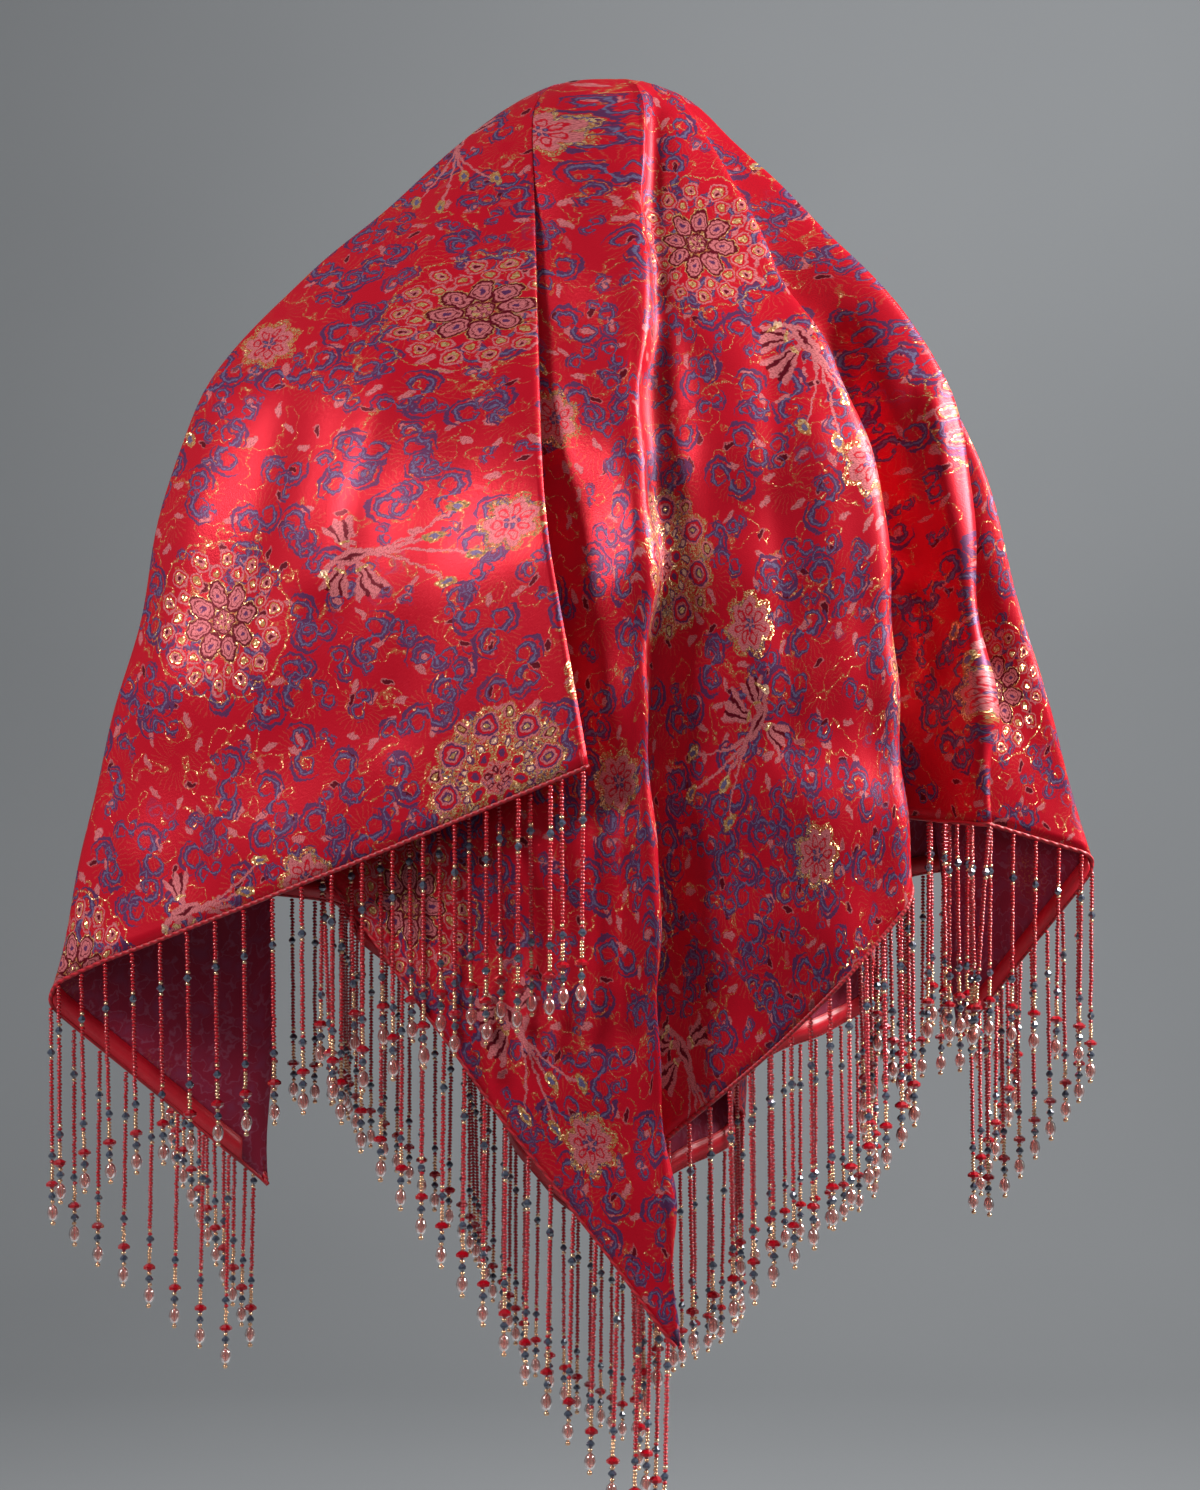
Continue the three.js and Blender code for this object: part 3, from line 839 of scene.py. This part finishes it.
def gold_roundel(cloth, sizes, x, y):
    """A round mandala: a mottled gold ground with a scalloped edge, a ring of eight flowers with
    buds between them, a ring of small drops, and a flower in the middle."""
    polar = distance(x, y), bearing(x, y)
    r, a = polar
    cloth.paint(below(r, 31.5 + abs((a * 8).math("COSINE")) * 4.2, 0.8) * cloth.lace, sizes.gold)
    cloth.paint(between(r, 19.6, 20.6) * cloth.lace, sizes.pink)
    half = TAU / 16
    petals(cloth, polar, (8, 31.5, 3.6, 3.0, half), ((1, sizes.pink), (0.72, DARK_RED), (0.5, sizes.gold)))
    petals(cloth, polar, (8, 26.2, 6.6, 6.4, 0.0), (
        (1, sizes.pink), (0.87, VIOLET), (0.74, sizes.red),
        (0.52, sizes.pink), (0.34, VIOLET), (0.2, sizes.gold),
    ))
    petals(cloth, polar, (16, 17.4, 2.6, 1.7, 0.1), ((1, VIOLET), (0.62, CREAM)))
    petals(cloth, polar, (8, 11.6, 4.4, 3.5, half), ((1, sizes.gold), (0.84, sizes.red), (0.42, VIOLET)))
    cloth.paint(below(r, 8.2) * cloth.lace, sizes.pink)
    petals(cloth, polar, (6, 4.4, 2.3, 1.3, 0.2), ((1, DARK_RED), (0.45, sizes.pink)))
    cloth.paint(below(r, 1.5), sizes.gold)


def lotus_roundel(cloth, sizes, x, y):
    """An eight-petalled lotus inside a lace of small pink and gold curls, with a dotted gold
    line of scallops round it."""
    polar = distance(x, y), bearing(x, y)
    r, a = polar
    scallops = 36 + abs((a * 7).math("COSINE")) * 2.6
    cloth.paint(below(abs(r - scallops), 0.45) * cloth.lace, sizes.gold)
    petals(cloth, polar, (14, 30.2, 4.9, 4.4, 0.0), (
        (1, sizes.pink), (0.8, sizes.red), (0.6, sizes.gold), (0.42, sizes.pink), (0.2, DARK_RED),
    ))
    petals(cloth, polar, (14, 23.4, 3.9, 3.5, TAU / 28), (
        (1, sizes.pink), (0.75, sizes.red), (0.5, sizes.gold),
    ))
    petals(cloth, polar, (8, 13.0, 7.8, 5.2, 0.0), (
        (1, sizes.gold), (0.92, DARK_RED), (0.74, sizes.pink),
        (0.56, DARK_RED), (0.47, sizes.pink), (0.2, VIOLET),
    ))
    cloth.paint(below(r, 5.8), DARK_RED)
    cloth.paint(below(r, 5.0) * cloth.lace, sizes.pink)
    petals(cloth, polar, (6, 3.2, 1.1, 0.8, 0.0), ((1, sizes.gold),))


def small_lotus(cloth, sizes, x, y):
    """A small flower: ragged gold outer petals, pink inner ones and a blue heart."""
    polar = distance(x, y), bearing(x, y)
    r, a = polar
    edge = 11.5 + abs((a * 3.5).math("COSINE")) * 4
    cloth.paint(below(r, edge) * cloth.lace, sizes.gold)
    cloth.paint(below(r, edge - 3.2), sizes.pink)
    petals(cloth, polar, (7, 6.2, 3.2, 1.9, 0.0), ((1, sizes.red), (0.6, sizes.pink)))
    petals(cloth, polar, (5, 2.4, 1.3, 1.0, 0.0), ((1, VIOLET), (0.5, sizes.blue)))


def bird(cloth, sizes, x, y):
    """A bird in flight: long tail plumes with eyed tips, each a parabola, fans of feathers for
    wings, a slim body and a crested head."""
    for bend, reach in ((0.004, 52), (-0.008, 44), (0.015, 38), (-0.002, 34)):
        plume = below(abs(y - x * x * bend), 0.75) * below(abs(x + reach / 2), reach / 2)
        cloth.paint(plume, sizes.pink)
        tip = oval(x + reach, y - bend * reach**2, 5, 2.4)
        cloth.paint(below(tip, 2.4), sizes.gold)
        cloth.paint(below(tip, 1.1), sizes.blue)
    for angle, across, up, span in ((62, 4, 1, 17), (108, 0, 1, 20), (-78, 2, -1, 17)):
        r, a = (f(*turned(x - across, y - up, angle)) for f in (distance, bearing))
        feathers = (a * 17).math("COSINE")
        fan = below(abs(a), 0.42, 0.06)
        cloth.paint(fan * below(r, span + feathers * 1.8), sizes.pink)
        cloth.paint(fan * below(feathers, -0.5, 0.4) * between(r, 7, span), DARK_RED)
        cloth.paint(fan * between(r, 5.2, 6.8), sizes.gold)
    spot(cloth, *turned(x - 1, y, 8), 9.5, 3.2, sizes.pink)
    spot(cloth, *turned(x - 1, y, 8), 6, 0.8, DARK_RED)
    spot(cloth, *turned(x - 11, y - 3, 38), 5, 1.5, sizes.pink)
    cloth.paint(below(distance(x - 14.5, y - 6), 2.2), CREAM)
    spot(cloth, *turned(x - 13.5, y - 9.5, 100), 3.4, 0.9, sizes.gold)


# The block's large motifs in the order that they are painted: the place across and up of each
# one's middle and its turn in degrees.
MOTIFS = (
    (small_lotus, 61, 315, 0),
    (small_lotus, 128, 228, 20),
    (bird, 76, 274, 62),
    (bird, 62, 118, 128),
    (small_lotus, 104, 66, 20),
    (lotus_roundel, 4, 165, 0),
    (gold_roundel, 0, 0, 0),
)
# Where the gold of the flowers shows through to the wrong side: across, up and how far out.
SHOWN_THROUGH = ((0, 0, 33), (4, 165, 34), (61, 315, 12), (128, 228, 12))
# The scattered scrolls, large to small: their shift, their spacing, their size and the share of
# places that has one.
SCROLLS = ((0, 27.0, 5.9, 0.74), (71, 18.0, 3.8, 0.42), (33, 12.0, 2.4, 0.16))


def scattered(nodes, x, y, cell, spread):
    """The point as seen from the nearest of many scattered places, each turned its own way,
    and a number of its own for each place."""
    settings = {"voronoi_dimensions": "2D", "feature": "F1"}
    at = nodes.vector(x / cell, y / cell)
    node = nodes.add("ShaderNodeTexVoronoi", settings, Vector=at, Scale=1.0, Randomness=spread)
    centre = nodes.add("ShaderNodeSeparateXYZ", Vector=node.outputs["Position"])
    way, own = nodes.number_pair(node.outputs["Color"])
    cx, cy = (Weave(nodes, centre.outputs[i]) * cell for i in (0, 1))
    dx, dy = x - cx, y - cy
    angle = way * TAU
    c, s = angle.math("COSINE"), angle.math("SINE")
    return dx * c + dy * s, dy * c - dx * s, own


def scroll(x, y, size):
    """A leaf scroll like an S: half of it is a band on a spiral that starts at the middle and
    winds in as it thins, with lobes along it and a slim leaf outside it, and half is that half
    turned about the middle. Gives the whole scroll and a thin lighter line along the middle of
    its band, which is a painted highlight."""
    px, py = abs(x) - size, y * x.math("SIGN")
    r, a = distance(px, py), bearing(px, py)
    turn = (a + math.pi) / TAU
    lobes = abs((a * 4.5).math("SINE")) * 0.4 + 0.6
    half = size * 0.34 * (1 - turn) * lobes + 0.28
    band = abs(r - size * (1 - 0.55 * turn))
    leaf = abs(r - size * (1.52 - 0.35 * turn)) - size * (0.2 - abs(turn - 0.34) * 0.75)
    whole = below(band, half, 0.4).math("MAXIMUM", below(leaf, 0.0, 0.4))
    return whole, below(band, half * 0.3, 0.3)


def glitter(nodes, x, y):
    """Lurex: tiny flakes, each with two numbers of its own."""
    settings = {"voronoi_dimensions": "2D"}
    at = nodes.vector(x, y)
    flakes = nodes.add("ShaderNodeTexVoronoi", settings, Vector=at, Scale=1.2, Randomness=1.0)
    return nodes.number_pair(flakes.outputs["Color"])


def uneven(nodes, x, y):
    """The place moved about a millimetre by noise, because no woven line is ruled."""
    settings = {"noise_dimensions": "2D"}
    at = nodes.vector(x / 6, y / 6)
    node = nodes.add("ShaderNodeTexNoise", settings, Vector=at, Scale=1.0, Detail=3.0, Roughness=0.65)
    moves = nodes.number_pair(node.outputs["Color"])
    return [at + (move - 0.5) * 5 for at, move in zip((x, y), moves)]


def brocade_face(sizes):
    """Red satin with its woven motifs, painted from the ground up."""
    nodes = Nodes("Brocade")
    flat_x, flat_y = nodes.flat_cloth()
    x, y = uneven(nodes, flat_x - BLOCK_CORNER[0], flat_y - BLOCK_CORNER[1])
    cloth = Cloth(nodes, tuple(sizes.red))
    fx, fy, _ = scattered(nodes, x, y, 27.0, 0.8)
    rays = abs((bearing(fx, fy) * 13).math("SINE"))
    cloth.paint(below(rays, 0.25, 0.3) * between(distance(fx, fy), 4, 13) * 0.5, RUST)
    tracery = nodes.cloth_noise(x / 15, y / 15, 1.5)
    cloth.lace = clamped((nodes.cloth_noise(x * 1.1, y * 1.1, 1.0) - 0.42) * 9)
    cloth.paint(below(abs(tracery - 0.56), 0.008, 0.02) * cloth.lace, sizes.gold)
    lx, ly, leaf_lot = scattered(nodes, x + 40, y + 17, 12.0, 0.9)
    leaf = oval(lx, ly, 3.6, 1.5)
    cloth.paint(below(leaf, 1.5) * below(leaf_lot, 0.5, 0.02), sizes.pink)
    cloth.paint(below(leaf, 1.2) * below(leaf_lot, 0.16, 0.02), DARK_RED)
    for shift, cell, size, share in SCROLLS:
        sx, sy, lot = scattered(nodes, x + shift, y - shift, cell, 0.7)
        whole, vein_highlight = scroll(sx, sy, size)
        kept = below(lot, share, 0.02)
        cloth.paint(whole * kept, VIOLET)
        # The lighter line along each scroll's band is a painted highlight, in the blue weft.
        cloth.paint(vein_highlight * kept, sizes.blue)
    for motif, across, up, angle in MOTIFS:
        motif(cloth, sizes, *placed(x, y, across, up, angle))
    gold, raised = cloth.gold_and_raised()
    flake, tilt = glitter(nodes, flat_x, flat_y)
    shine = gold * clamped((flake - 0.52) * 5)
    threads = nodes.cloth_noise(flat_x * 0.8, flat_y * 2.6)
    gaps = clamped((threads - 0.47) * 7) * raised
    cloth.paint(gaps * 0.6, DARK_RED)
    cloth.paint(shine, BRIGHT_GOLD)
    woven = nodes.bump(threads, 0.35, 0.3 * MM)
    return nodes.finish(
        Base_Color=cloth.colour,
        Metallic=0.26 + shine * 0.6,
        Roughness=0.33 + raised * 0.12 - shine * 0.14,
        Normal=nodes.sparkle(woven, flake - 0.5, tilt - 0.5, shine * 0.9),
        Specular_IOR_Level=0.4,
        Specular_Tint=(1.0, 0.3, 0.32),
        Anisotropic=0.4,
    )


def brocade_wrong_side(sizes):
    """The back of the brocade: maroon, with faint lavender floats and specks of the gold that
    shows through."""
    nodes = Nodes("Brocade wrong side")
    flat_x, flat_y = nodes.flat_cloth()
    x, y = uneven(nodes, flat_x - BLOCK_CORNER[0], flat_y - BLOCK_CORNER[1])
    cloth = Cloth(nodes, MAROON)
    floats = nodes.cloth_noise(flat_x * 0.3, flat_y * 1.6)
    curls = nodes.cloth_noise(x / 9, y / 9, 1.5)
    cloth.paint(clamped((curls - 0.5) * 5) * 0.35, PLUM)
    cloth.paint(below(abs(curls - 0.5), 0.012, 0.03) * 0.5, LAVENDER)
    specks = clamped((nodes.cloth_noise(x, y, 1.0) - 0.56) * 12)
    for across, up, radius in SHOWN_THROUGH:
        near = below(distance(*placed(x, y, across, up)), radius, 9.0)
        cloth.paint(near * specks * 0.6, DULL_GOLD)
    return nodes.finish(
        Base_Color=cloth.colour,
        Roughness=0.5 + floats * 0.2,
        Normal=nodes.bump(floats, 0.3, 0.3 * MM),
        Specular_IOR_Level=0.3,
    )


def facing_satin(trim):
    """Plain satin: fine ribs along the hem and a slow change of tone."""
    nodes = Nodes("Facing satin")
    x, y = nodes.flat_cloth()
    slub = nodes.cloth_noise(x / 4, y / 4, 3.0)
    ribs = ((x + y) * 5.0).math("SINE") * 0.5 + 0.5
    return nodes.finish(
        Base_Color=nodes.mixed(slub.socket, trim.red, dimmed(trim.red, 0.75)),
        Roughness=0.3 + slub * 0.14,
        Normal=nodes.bump(ribs * 0.3 + slub, 0.25, 0.3 * MM),
    )


def edge_satin(trim):
    """The rolled edge: darker satin whose colour follows its twisted binding, painted darker in the grooves
    and lighter on the ridges as shade.
    """
    nodes = Nodes("Edge satin")
    parts = nodes.add("ShaderNodeSeparateXYZ", Vector=nodes.object_place())
    x, y, z = (Weave(nodes, parts.outputs[i]) / MM for i in range(3))
    twist_and_shade = ((x + y) * 1.6 + z * 2.2).math("SINE") * 0.5 + 0.5
    return nodes.finish(
        # Painted shade: darker where the twisted binding's bump is low, lighter where it is high.
        Base_Color=nodes.mixed(twist_and_shade.socket, dimmed(trim.red, 0.4), dimmed(trim.red, 0.8)),
        Roughness=0.42 + twist_and_shade * 0.15,
        Normal=nodes.bump(twist_and_shade, 0.5, 0.4 * MM),
    )


# How each bead finish looks: its two shades, how metallic, rough and clear it is, and its shell.
Finish = namedtuple("Finish", "colour other metallic roughness transmission coat")
BEAD_FINISHES = {
    "red": Finish((0.55, 0.004, 0.014), (0.36, 0.002, 0.008), 0.0, 0.1, 0.0, 1.0),
    "gold": Finish((0.95, 0.66, 0.42), (0.8, 0.42, 0.22), 0.8, 0.14, 0.0, 0.5),
    "blue_grey": Finish((0.045, 0.055, 0.085), (0.1, 0.12, 0.18), 0.3, 0.06, 0.1, 1.0),
    "ruby": Finish((0.5, 0.003, 0.012), (0.34, 0.002, 0.01), 0.0, 0.04, 0.2, 1.0),
    "rose": Finish((0.95, 0.5, 0.42), (0.85, 0.32, 0.28), 0.0, 0.04, 0.85, 0.7),
}


def bead_material(name):
    """Glass or plated beads, no two of quite the same shade."""
    look = BEAD_FINISHES[name]
    nodes = Nodes(f"Beads {name.replace('_', ' ')}")
    place = nodes.object_place()
    shade = nodes.noise(place, 320.0, 1.0)
    swirl = nodes.noise(place, 900.0, 2.0)
    return nodes.finish(
        Base_Color=nodes.mixed(clamped(shade).socket, look.colour, look.other),
        Metallic=look.metallic,
        Roughness=look.roughness + swirl * 0.08,
        Transmission_Weight=look.transmission,
        IOR=1.52,
        Coat_Weight=look.coat,
        Coat_Roughness=0.05,
        Normal=nodes.bump(swirl, 0.12, 0.1 * MM),
    )


def thread_material():
    """The twisted thread that carries the beads."""
    nodes = Nodes("Thread")
    ply = nodes.noise(nodes.object_place(), 1500.0)
    return nodes.finish(
        Base_Color=nodes.mixed(ply.socket, (0.3, 0.01, 0.02), (0.45, 0.02, 0.03)),
        Roughness=0.6 + ply * 0.2,
    )


def plain_material(name, colour, other):
    """Matt paint for the stage, mottled a little."""
    nodes = Nodes(name)
    cloud = nodes.noise(nodes.object_place(), 0.8, 3.0)
    return nodes.finish(Base_Color=nodes.mixed(cloud.socket, colour, other), Roughness=0.85 + cloud * 0.1)


class VEIL_OT_brocade(bpy.types.Operator):
    """Drape the square of brocade from the crown"""

    bl_idname = "veil.brocade"
    bl_label = "Brocade square"

    def execute(self, context):
        sizes = context.scene.veil_brocade
        materials = [brocade_face(sizes), brocade_wrong_side(sizes)]
        piece = brocade_mesh(sizes, materials)
        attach(piece, "root")
        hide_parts("veil_brocade")
        return {"FINISHED"}


class VEIL_OT_facings(bpy.types.Operator):
    """Line the hem with its satin facings, one to each side"""

    bl_idname = "veil.facings"
    bl_label = "Hem facings"

    def execute(self, context):
        sizes, trim = context.scene.veil_brocade, context.scene.veil_trim
        satin = facing_satin(trim)
        for i, side in enumerate(SIDES):
            piece = facing_mesh(i, sizes, trim, satin)
            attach(piece, "root")
            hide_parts(f"hem_facing_{side}")
        return {"FINISHED"}


class VEIL_OT_edges(bpy.types.Operator):
    """Roll the edge of the cloth, one cord to each side"""

    bl_idname = "veil.edges"
    bl_label = "Rolled edges"

    def execute(self, context):
        sizes, trim = context.scene.veil_brocade, context.scene.veil_trim
        satin = edge_satin(trim)
        for i, side in enumerate(SIDES):
            u = side_line(i, np.linspace(0, 1, EDGE_STEPS), gap=EDGE_GAP)
            path = cloth_point(u, np.full_like(u, EDGE_SHARE), 0, sizes)
            piece = tube_mesh(f"rolled_edge_{side}", path, trim.roll, 8, satin)
            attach(piece, "root")
        return {"FINISHED"}


class VEIL_OT_fringe(bpy.types.Operator):
    """Hang the bead strands from the edges"""

    bl_idname = "veil.fringe"
    bl_label = "Bead fringe"

    def execute(self, context):
        sizes, fringe = context.scene.veil_brocade, context.scene.veil_fringe
        materials = [*(bead_material(name) for name in BEAD_FINISHES), thread_material()]
        for i, side in enumerate(SIDES):
            piece = fringe_mesh(i, sizes, fringe, materials)
            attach(piece, "root")
            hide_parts(f"fringe_{side}")
        return {"FINISHED"}


class VEIL_OT_declare(bpy.types.Operator):
    """Takes no step: it returns at once and leaves the pieces as they are"""

    bl_idname = "veil.declare"
    bl_label = "Declare cloth"

    def execute(self, context):
        return {"FINISHED"}


# The camera looks level at the front from this far, and sees this much from top to bottom.
VIEW = {"x": 0.0026, "y": -1.45, "z": -0.338, "height": 0.76, "film": 36.0}


# The lights: each one's place and aim in metres, its size, its power in watts and its colour. One
# that isn't glossy lights the cloth but leaves no shine on it.
Light = namedtuple("Light", "name place target size power glossy colour", defaults=(True, (1.0, 1.0, 1.0)))
MIDDLE = (0, 0, -0.33)
LIGHTS = (
    Light("Window", (1.35, -0.05, 0.45), MIDDLE, (0.35, 0.8), 62, True, (1.0, 0.98, 0.96)),
    Light("Key", (-1.5, -0.95, 0.6), MIDDLE, (0.5, 0.5), 34, True, (0.99, 0.99, 1.0)),
    Light("Front", (0.5, -1.9, 0.5), MIDDLE, (0.7, 0.7), 5, False),
    Light("Overhead", (0.1, 0.1, 1.2), MIDDLE, (0.8, 0.6), 2, False),
    Light("Wall wash", (1.2, 1.6, 1.4), (0.7, 4.2, 0.3), (1.6, 0.6), 62),
    Light("Back", (-0.5, 2.0, 1.0), MIDDLE, (0.8, 0.8), 24, False),
)


def add_light(look):
    """An area light at its place, turned to face its target."""
    light = bpy.data.lights.new(look.name, "AREA")
    light.shape = "RECTANGLE"
    light.size, light.size_y = look.size
    light.energy = look.power
    light.color = look.colour
    lamp = bpy.data.objects.new(look.name, light)
    ahead = np.array(look.target) - np.array(look.place)
    across = math.hypot(ahead[0], ahead[1])
    lamp.location = look.place
    lamp.visible_glossy = look.glossy
    lamp.rotation_euler = (math.atan2(across, -ahead[2]), 0, math.atan2(-ahead[0], ahead[1]))
    bpy.context.scene.collection.objects.link(lamp)


# The floor and wall in metres: the floor's height and front edge, the wall's place and top, the
# radius of the sweep between them, and half the width.
ROOM = {"floor": -1.35, "front": -5.0, "back": 4.2, "top": 4.5, "radius": 1.2, "half": 6.0}


def backdrop_mesh(material):
    """A floor that sweeps up into a wall: a line back, a quarter circle and a line up, carried
    across."""
    a = np.linspace(0, math.pi / 2, 17)
    radius, half = ROOM["radius"], ROOM["half"]
    y = np.concatenate([[ROOM["front"]], ROOM["back"] - radius + radius * np.sin(a), [ROOM["back"]]])
    z = np.concatenate([[ROOM["floor"]], ROOM["floor"] + radius - radius * np.cos(a), [ROOM["top"]]])
    points = np.array([(x, b, c) for b, c in zip(y, z) for x in (-half, half)])
    return add_mesh("studio_backdrop", points, grid_faces(len(y), 2, flip=True), [material])


class VEIL_OT_stage(bpy.types.Operator):
    """Set the camera, the soft lights, the floor and the wall behind"""

    bl_idname = "veil.stage"
    bl_label = "Studio stage"

    def execute(self, context):
        scene = context.scene
        camera = bpy.data.cameras.new("Camera")
        camera.sensor_width = VIEW["film"]
        camera.lens = VIEW["film"] * -VIEW["y"] / VIEW["height"]
        camera.clip_end = 30
        eye = bpy.data.objects.new("Camera", camera)
        eye.location = (VIEW["x"], VIEW["y"], VIEW["z"])
        eye.rotation_euler = (math.pi / 2, 0, 0)
        scene.collection.objects.link(eye)
        scene.camera = eye
        wall = backdrop_mesh(plain_material("Studio paint", (0.29, 0.3, 0.31), (0.24, 0.25, 0.26)))
        for light in LIGHTS:
            add_light(light)
        world = bpy.data.worlds.new("Studio")
        world.use_nodes = True
        background = world.node_tree.nodes["Background"]
        background.inputs["Color"].default_value = (0.75, 0.78, 0.82, 1.0)
        background.inputs["Strength"].default_value = 0.2
        scene.world = world
        scene.view_settings.view_transform = "Standard"
        return {"FINISHED"}


class VEIL_PT_panel(bpy.types.Panel):
    """Sizes, colours and pieces of the veil"""

    bl_label = "Head Veil"
    bl_idname = "VEIL_PT_panel"
    bl_space_type = "VIEW_3D"
    bl_region_type = "UI"
    bl_category = "Head Veil"

    def draw(self, context):
        for group in (context.scene.veil_brocade, context.scene.veil_trim, context.scene.veil_fringe):
            box = self.layout.box()
            for name in type(group).__annotations__:
                box.prop(group, name)
        for operator in OPERATORS:
            self.layout.operator(operator.bl_idname)


GROUPS = {"veil_brocade": BrocadeSizes, "veil_trim": TrimSizes, "veil_fringe": FringeSizes}
OPERATORS = (
    VEIL_OT_stage,
    VEIL_OT_brocade,
    VEIL_OT_facings,
    VEIL_OT_edges,
    VEIL_OT_fringe,
    VEIL_OT_declare,
)


def register():
    for cls in (*GROUPS.values(), *OPERATORS, VEIL_PT_panel):
        bpy.utils.register_class(cls)
    for name, group in GROUPS.items():
        setattr(bpy.types.Scene, name, PointerProperty(type=group))


def unregister():
    for name in GROUPS:
        delattr(bpy.types.Scene, name)
    for cls in reversed((*GROUPS.values(), *OPERATORS, VEIL_PT_panel)):
        bpy.utils.unregister_class(cls)


def main():
    register()
    for operator in OPERATORS:
        group, action = operator.bl_idname.split(".")
        getattr(getattr(bpy.ops, group), action)()


if __name__ == "__main__":
    main()
